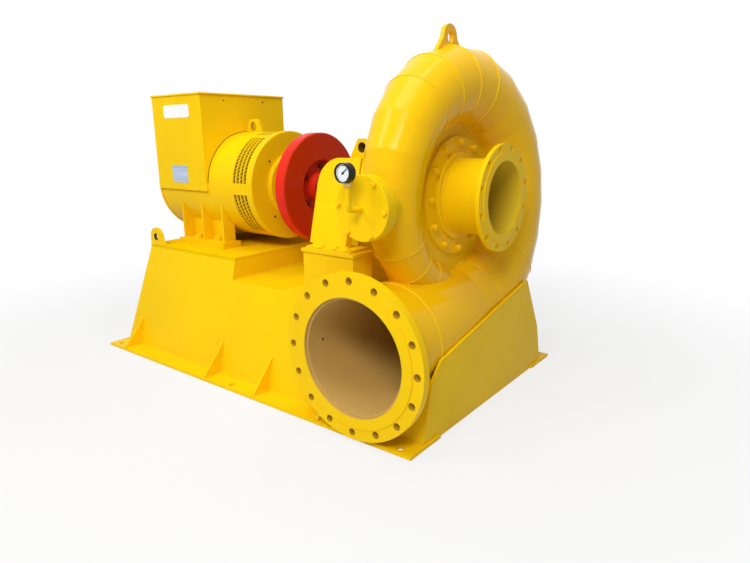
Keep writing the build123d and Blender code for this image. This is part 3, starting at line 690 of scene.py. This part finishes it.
# Bolts through the nozzle's flange and its blind, with a head on each side
def add_blind_bolts(mesh):
    front_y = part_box("blind_flange")[0].y
    back_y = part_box("inspection_nozzle")[0].y + NOZZLE_FLANGE_T * MM
    for i in range(BLIND_BOLTS):
        t = radians(BLIND_TURN_DEG + 360 * i / BLIND_BOLTS)
        place = at(BLIND_PCD_R * sin(t), 0, SHAFT_Z + BLIND_PCD_R * cos(t))
        add_hex(mesh, Vector((place.x, front_y, place.z)), -Y_AXIS, BLIND_HEX)
        add_hex(mesh, Vector((place.x, back_y, place.z)), Y_AXIS, BLIND_HEX)


# Painted bolts of the covers, the blind flange, the feet and the bracket, and screws of the box
def add_painted_bolts():
    mesh = bmesh.new()
    for side in (1, -1):
        for place in round_shaft(side * COVER_X, COVER_PCD_R, COVER_BOLTS):
            add_hex(mesh, place, side * X_AXIS, COVER_HEX)
    add_blind_bolts(mesh)
    for side in (-1, 1):
        for x in FOOT_BOLT_X:
            add_hex(mesh, at(x, side * FOOT_BOLT_Y, FOOT_TOP), Z_AXIS, FOOT_HEX, washer=True)
    for x in CAP_BOLT_X:
        add_hex(mesh, at(x, CAP_BOLT_Y, CAP_TOP), Z_AXIS, CAP_HEX, washer=True)
    for x in BOX_FRONT_SCREW_X:
        place = at(x, 0, BOX_FRONT_SCREW_Z)
        place.y = box_low.y
        add_screw(mesh, place, -Y_AXIS, BOX_SCREW_R)
    finish_piece("painted_bolts", mesh, bolt_yellow)


# Dark screws of the generator's end bells and the terminal box
def add_dark_screws():
    mesh = bmesh.new()
    for place in round_shaft(BELL_FACE_X, BELL_SCREW_PCD_R, BELL_SCREWS, BELL_TURN_DEG):
        add_screw(mesh, place, X_AXIS, BELL_SCREW_R)
    rear_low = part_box("rear_end_bell")[0]
    for place in round_shaft(0, REAR_SCREW_PCD_R, REAR_SCREWS, REAR_TURN_DEG):
        place.x = rear_low.x + REAR_FLANGE_T * MM
        add_screw(mesh, place, -X_AXIS, REAR_SCREW_R)
    for y in BOX_SIDE_SCREW_Y:
        place = at(0, y, BOX_SIDE_SCREW_Z)
        place.x = box_high.x
        add_screw(mesh, place, X_AXIS, BOX_SCREW_R)
    finish_piece("dark_screws", mesh, dark_bolt)


# Away from the shaft line, at an angle that goes from the front over the top
def drum_outward(deg):
    return Vector((0, -cos(radians(deg)), sin(radians(deg))))


# Dark line of painted shade where the terminal box meets the drum, sizes in metres
JOINT_START_DEG = 4
JOINT_SWEEP_DEG = 172
JOINT_STEPS = 120
JOINT_STAND = 0.0005
JOINT_LINE_R = 0.0017


def add_box_joint_shade():
    mesh = bmesh.new()
    centre = Vector((box_high.x, 0, SHAFT_Z * MM))
    run = []
    for k in range(JOINT_STEPS + 1):
        deg = JOINT_START_DEG + JOINT_SWEEP_DEG * k / JOINT_STEPS
        run.append(centre + drum_outward(deg) * (DRUM_R * MM + JOINT_STAND))
    add_tube(mesh, run, JOINT_LINE_R)
    finish_piece("box_drum_shade_line", mesh, painted_shade_black)


# Bolts in the flywheel's recess turn with it
def add_flywheel_bolts():
    mesh = bmesh.new()
    fly_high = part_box("flywheel")[1]
    for place in round_shaft(0, FLY_PCD_R, FLY_BOLTS, FLY_TURN_DEG):
        place.x = fly_high.x - FLY_FLOOR_DEPTH * MM
        add_hex(mesh, place, X_AXIS, FLY_HEX)
    finish_piece("flywheel_bolts", mesh, fly_bolt_paint, body="rotor")


# Vents: slanting grille bars, staggered from slot to slot, before dark sheets of painted shade, sizes in
# metres
BAR_PITCH_DEG = 3.85
BAR_START_DEG = 2.5
BAR_ENDS_DEG = 2
BAR_STAND = 0.2375
BAR_HALF_X = 0.0087
BAR_HALF_SLANT = 0.004
BAR_R = 0.0017
SHEET_INSET_DEG = 0.5
SHEET_INNER = 0.231
SHEET_OUTER = 0.2315
SHEET_HALF = 0.0083


def add_slot_shade_sheet(mesh, middle, start, end):
    side = X_AXIS * SHEET_HALF
    loops = []
    for k in range(end - start):
        outward = drum_outward(start + SHEET_INSET_DEG + k)
        inner = middle + outward * SHEET_INNER
        outer = middle + outward * SHEET_OUTER
        corners = (inner - side, inner + side, outer + side, outer - side)
        loops.append([mesh.verts.new(corner) for corner in corners])
    add_skin(mesh, loops)


def add_slot_bars(mesh, middle, start, end, stagger):
    for k in range(int((end - start - BAR_ENDS_DEG) / BAR_PITCH_DEG)):
        deg = start + BAR_START_DEG + BAR_PITCH_DEG * (k + stagger)
        centre = middle + drum_outward(deg) * BAR_STAND
        along = Vector((0, sin(radians(deg)), cos(radians(deg))))
        half_bar = X_AXIS * BAR_HALF_X + along * BAR_HALF_SLANT
        add_tube(mesh, [centre - half_bar, centre + half_bar], BAR_R, sides=6)


def add_vents():
    bars = bmesh.new()
    shade_sheets = bmesh.new()
    for column in range(VENT_COUNT):
        middle = at(VENT_X1 - VENT_PITCH * column, 0, SHAFT_Z)
        stagger = 0.5 * (column % 2)
        for start, end in VENT_ARCS:
            add_slot_shade_sheet(shade_sheets, middle, start, end)
            add_slot_bars(bars, middle, start, end, stagger)
    finish_piece("vent_grille", bars, grille_paint)
    finish_piece("vent_slot_shade", shade_sheets, painted_shade_black)


# Linings of the two openings in mm, coats darker and duller than the paint that are painted shade: a brown
# one in the inlet, an olive one in the outlet
LINING_SIDES = 128
LINING_BACK = 0.5
END_COAT_T = 0.5


# Coats the pipe's bore, its end, the flange's inner edge and the tapping's rim with painted shade
def add_inlet_shade_coat():
    mesh = bmesh.new()
    bore_y = PIPE_END_Y + LINING_BACK
    end_coat_y = PIPE_END_Y - COAT_GAP - END_COAT_T
    edge_y = INLET_FACE_Y - INLET_RAISED + LINING_BACK
    end_inner_r = PIPE_BORE_R - COAT_GAP - COAT_T
    end_outer_r = PIPE_R - COAT_GAP
    add_bore(mesh, at(0, bore_y, INLET_Z), Y_AXIS, PIPE_BORE_R, -bore_y, LINING_SIDES)
    end_coat = at(0, end_coat_y, INLET_Z)
    add_sleeve(mesh, end_coat, Y_AXIS, end_inner_r, end_outer_r, END_COAT_T, LINING_SIDES)
    add_bore(mesh, at(0, edge_y, INLET_Z), Y_AXIS, PIPE_R, end_coat_y - edge_y, LINING_SIDES)
    add_sleeve(mesh, at(*TAPPING), X_AXIS, TAPPING_R, TAPPING_RIM_R, TAPPING_RIM_H, TAPPING_SIDES)
    finish_piece("inlet_bore_shade", mesh, inlet_shade_brown)


def add_outlet_shade_coat():
    mesh = bmesh.new()
    start_x = RING_HALF + LINING_BACK
    length = DRAFT_FACE_X - LINING_BACK - start_x
    add_bore(mesh, at(start_x, 0, SHAFT_Z), X_AXIS, DRAFT_BORE_R, length, LINING_SIDES)
    finish_piece("outlet_bore_shade", mesh, outlet_shade_olive)


# Bare plates on the front of the terminal box: places in mm, sizes in metres
WHITE_PLATE_X = -1298.0
WHITE_PLATE_Z = 1106.0
WHITE_PLATE = {"width": 0.193, "height": 0.058, "thick": 0.0015, "corner": 0.012}
NAME_PLATE_X = -1306.0
NAME_PLATE_Z = 822.0
NAME_PLATE = {"width": 0.120, "height": 0.080, "thick": 0.0012, "corner": 0.004}


def add_box_plate(name, x, z, size, material):
    mesh = bmesh.new()
    place = at(x, 0, z)
    place.y = box_low.y
    add_plate(mesh, place, X_AXIS, Z_AXIS, **size)
    finish_piece(name, mesh, material)


# Gauge: reaches as shares of the dial's radius, other sizes in metres
BEZEL_STAND = 0.0015
BEZEL_R = 0.0016
BEZEL_IN = 0.001
BEZEL_POINTS = 96
TICKS = 31
TICK_START_DEG = 225
TICK_STEP_DEG = 9
LONG_TICK_EVERY = 5
TICK_REACH = 0.90
LONG_TICK = 0.16
LONG_TICK_W = 0.0012
SHORT_TICK = 0.09
SHORT_TICK_W = 0.0007
TICK_T = 0.0004
TICK_CORNER = 0.0002
TICK_SEAT = 0.0001
POINTER_DEG = 40
POINTER_REACH = 0.95
POINTER_BACK = 0.25
POINTER_W = 0.0028
POINTER_T = 0.0006
POINTER_CORNER = 0.0005
POINTER_STAND = 0.0015
POINTER_HUB = [(0.0035, 0), (0.0035, 0.002), (0.0025, 0.003)]
POINTER_HUB_SIDES = 20
FITTING_SEAT = 0.001

case_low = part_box("gauge_case")[0]
dial_low, dial_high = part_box("gauge_dial")
dial_mid = (dial_low + dial_high) / 2
dial_face = Vector((dial_mid.x, dial_low.y, dial_mid.z))
dial_r = (dial_high.x - dial_low.x) / 2


def add_gauge_bezel():
    mesh = bmesh.new()
    middle = Vector((dial_mid.x, case_low.y + BEZEL_IN, dial_mid.z))
    ring = circle_points(middle, X_AXIS, Z_AXIS, dial_r + BEZEL_STAND, BEZEL_POINTS)
    add_tube(mesh, ring, BEZEL_R, closed=True)
    finish_piece("gauge_bezel", mesh, black)


def add_gauge_marks():
    mesh = bmesh.new()
    for i in range(TICKS):
        t = radians(TICK_START_DEG - TICK_STEP_DEG * i)
        is_long = i % LONG_TICK_EVERY == 0
        length = (LONG_TICK if is_long else SHORT_TICK) * dial_r
        width = LONG_TICK_W if is_long else SHORT_TICK_W
        way = Vector((cos(t), 0, sin(t)))
        across = Vector((-sin(t), 0, cos(t)))
        middle = dial_face - Y_AXIS * TICK_SEAT + way * (TICK_REACH * dial_r - length / 2)
        add_plate(mesh, middle, way, across, length, width, TICK_T, TICK_CORNER)
    tilt = radians(POINTER_DEG)
    way = Vector((-cos(tilt), 0, -sin(tilt)))
    across = Vector((-way.z, 0, way.x))
    middle = dial_face - Y_AXIS * POINTER_STAND - way * POINTER_BACK * dial_r
    add_plate(mesh, middle, way, across, POINTER_REACH * dial_r, POINTER_W, POINTER_T, POINTER_CORNER)
    add_turned(mesh, dial_face, -Y_AXIS, POINTER_HUB, POINTER_HUB_SIDES)
    finish_piece("gauge_marks", mesh, ink)


# Brass nut between the gauge's case and its pipe
def add_gauge_fitting():
    mesh = bmesh.new()
    pipe_low, pipe_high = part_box("gauge_pipe")
    pipe_r = (pipe_high.x - pipe_low.x) / 2
    pipe_top = Vector((dial_mid.x, pipe_low.y + pipe_r, case_low.z))
    add_hex(mesh, pipe_top - Z_AXIS * FITTING_SEAT, -Z_AXIS, GAUGE_HEX)
    finish_piece("gauge_fitting", mesh, brass)


add_casing_welds()
add_skid_welds()
add_eye_shade_coats()
add_hole_shade_coats()
add_raised_faces()
add_painted_bolts()
add_dark_screws()
add_box_joint_shade()
add_flywheel_bolts()
add_vents()
add_inlet_shade_coat()
add_outlet_shade_coat()
add_box_plate("blank_white_plate", WHITE_PLATE_X, WHITE_PLATE_Z, WHITE_PLATE, plate_white)
add_box_plate("blank_name_plate", NAME_PLATE_X, NAME_PLATE_Z, NAME_PLATE, plate_blue)
add_gauge_bezel()
add_gauge_marks()
add_gauge_fitting()

# Stage: white where the camera, a mirror or glass looks, and the floor keeps its shadow
FLOOR_SIZE = 40
FLOOR_GREY = (0.72, 0.72, 0.72, 1)
FLOOR_ROUGH = 0.9
GLOW_NEAR = 0.72
GLOW_FAR = 1.0
FADE_START = 1.0
FADE_END = 2.8
WORLD_FILL = 0.22
WORLD_SEEN = 1.0


def seen_directly(nodes, links):
    path = nodes.new("ShaderNodeLightPath")
    first = nodes.new("ShaderNodeMath")
    first.operation = "MAXIMUM"
    second = nodes.new("ShaderNodeMath")
    second.operation = "MAXIMUM"
    links.new(path.outputs["Is Camera Ray"], first.inputs[0])
    links.new(path.outputs["Is Glossy Ray"], first.inputs[1])
    links.new(first.outputs["Value"], second.inputs[0])
    links.new(path.outputs["Is Transmission Ray"], second.inputs[1])
    return second.outputs["Value"]


# A floor that takes shadow near the object and goes over to plain white further out
def floor_material():
    mat, nodes, links, shader = new_material("floor")
    shader.inputs["Base Color"].default_value = FLOOR_GREY
    shader.inputs["Roughness"].default_value = FLOOR_ROUGH
    glow = nodes.new("ShaderNodeEmission")
    coord = nodes.new("ShaderNodeTexCoord")
    distance = nodes.new("ShaderNodeVectorMath")
    distance.operation = "LENGTH"
    fade = nodes.new("ShaderNodeMapRange")
    fade.interpolation_type = "SMOOTHSTEP"
    fade.inputs["From Min"].default_value = FADE_START
    fade.inputs["From Max"].default_value = FADE_END
    fade.inputs["To Min"].default_value = GLOW_NEAR
    fade.inputs["To Max"].default_value = GLOW_FAR
    share = nodes.new("ShaderNodeMath")
    share.operation = "MULTIPLY"
    mix = nodes.new("ShaderNodeMixShader")
    links.new(coord.outputs["Object"], distance.inputs[0])
    links.new(distance.outputs["Value"], fade.inputs["Value"])
    links.new(fade.outputs["Result"], share.inputs[0])
    links.new(seen_directly(nodes, links), share.inputs[1])
    links.new(share.outputs["Value"], mix.inputs["Fac"])
    links.new(shader.outputs["BSDF"], mix.inputs[1])
    links.new(glow.outputs["Emission"], mix.inputs[2])
    links.new(mix.outputs["Shader"], nodes["Material Output"].inputs["Surface"])
    return mat


def add_floor():
    mesh = bmesh.new()
    bmesh.ops.create_grid(mesh, x_segments=1, y_segments=1, size=FLOOR_SIZE)
    data = bpy.data.meshes.new("floor")
    mesh.to_mesh(data)
    mesh.free()
    data.materials.append(floor_material())
    floor = bpy.data.objects.new("floor", data)
    bpy.context.scene.collection.objects.link(floor)


def add_world():
    world = bpy.data.worlds.new("studio")
    bpy.context.scene.world = world
    world.use_nodes = True
    nodes = world.node_tree.nodes
    links = world.node_tree.links
    sky = nodes["Background"]
    sky.inputs["Color"].default_value = (1, 1, 1, 1)
    level = nodes.new("ShaderNodeMapRange")
    level.inputs["To Min"].default_value = WORLD_FILL
    level.inputs["To Max"].default_value = WORLD_SEEN
    links.new(seen_directly(nodes, links), level.inputs["Value"])
    links.new(level.outputs["Result"], sky.inputs["Strength"])


# Soft lamps aimed at the object's middle: place and size in metres, power in watts
LAMP_AIM = Vector((0.0, 0.0, 0.6))
LAMPS = (
    {"name": "key", "place": (-1.5, -3.0, 3.6), "size": (1.3, 2.0), "power": 55},
    {"name": "front", "place": (1.9, -3.4, 3.3), "size": (1.9, 1.1), "power": 103},
    {"name": "top", "place": (0.7, -0.6, 4.6), "size": (2.6, 2.0), "power": 74},
)


def add_lamp(name, place, size, power):
    lamp = bpy.data.lights.new(name, "AREA")
    lamp.shape = "RECTANGLE"
    lamp.size, lamp.size_y = size
    lamp.energy = power
    obj = bpy.data.objects.new(name, lamp)
    bpy.context.scene.collection.objects.link(obj)
    stand = Vector(place)
    obj.matrix_world = facing(stand, stand - LAMP_AIM)


# Camera at the photograph's place, its focal length in the photograph's pixels
PHOTO_WIDTH = 750
FOCAL_PIXELS = 589.8
SENSOR_WIDTH = 36.0
CAMERA_PLACE = (1153.0, -1929.0, 997.0)
CAMERA_YAW_DEG = 37.78
CAMERA_PITCH_DEG = 14.08
CAMERA_ROLL_DEG = -0.64
CAMERA_CLIP_END = 100


def add_camera():
    data = bpy.data.cameras.new("camera")
    data.sensor_fit = "HORIZONTAL"
    data.sensor_width = SENSOR_WIDTH
    data.lens = FOCAL_PIXELS / PHOTO_WIDTH * SENSOR_WIDTH
    data.clip_end = CAMERA_CLIP_END
    yaw = radians(CAMERA_YAW_DEG)
    pitch = radians(CAMERA_PITCH_DEG)
    roll = radians(CAMERA_ROLL_DEG)
    level_right = Vector((cos(yaw), sin(yaw), 0))
    back = Vector((sin(yaw) * cos(pitch), -cos(yaw) * cos(pitch), sin(pitch)))
    level_up = back.cross(level_right)
    right = cos(roll) * level_right + sin(roll) * level_up
    up = cos(roll) * level_up - sin(roll) * level_right
    camera = bpy.data.objects.new("camera", data)
    bpy.context.scene.collection.objects.link(camera)
    turn = Matrix((right, up, back)).transposed().to_4x4()
    camera.matrix_world = Matrix.Translation(at(*CAMERA_PLACE)) @ turn
    bpy.context.scene.camera = camera


add_floor()
add_world()
for lamp in LAMPS:
    add_lamp(**lamp)
add_camera()
bpy.context.scene.view_settings.view_transform = "Standard"
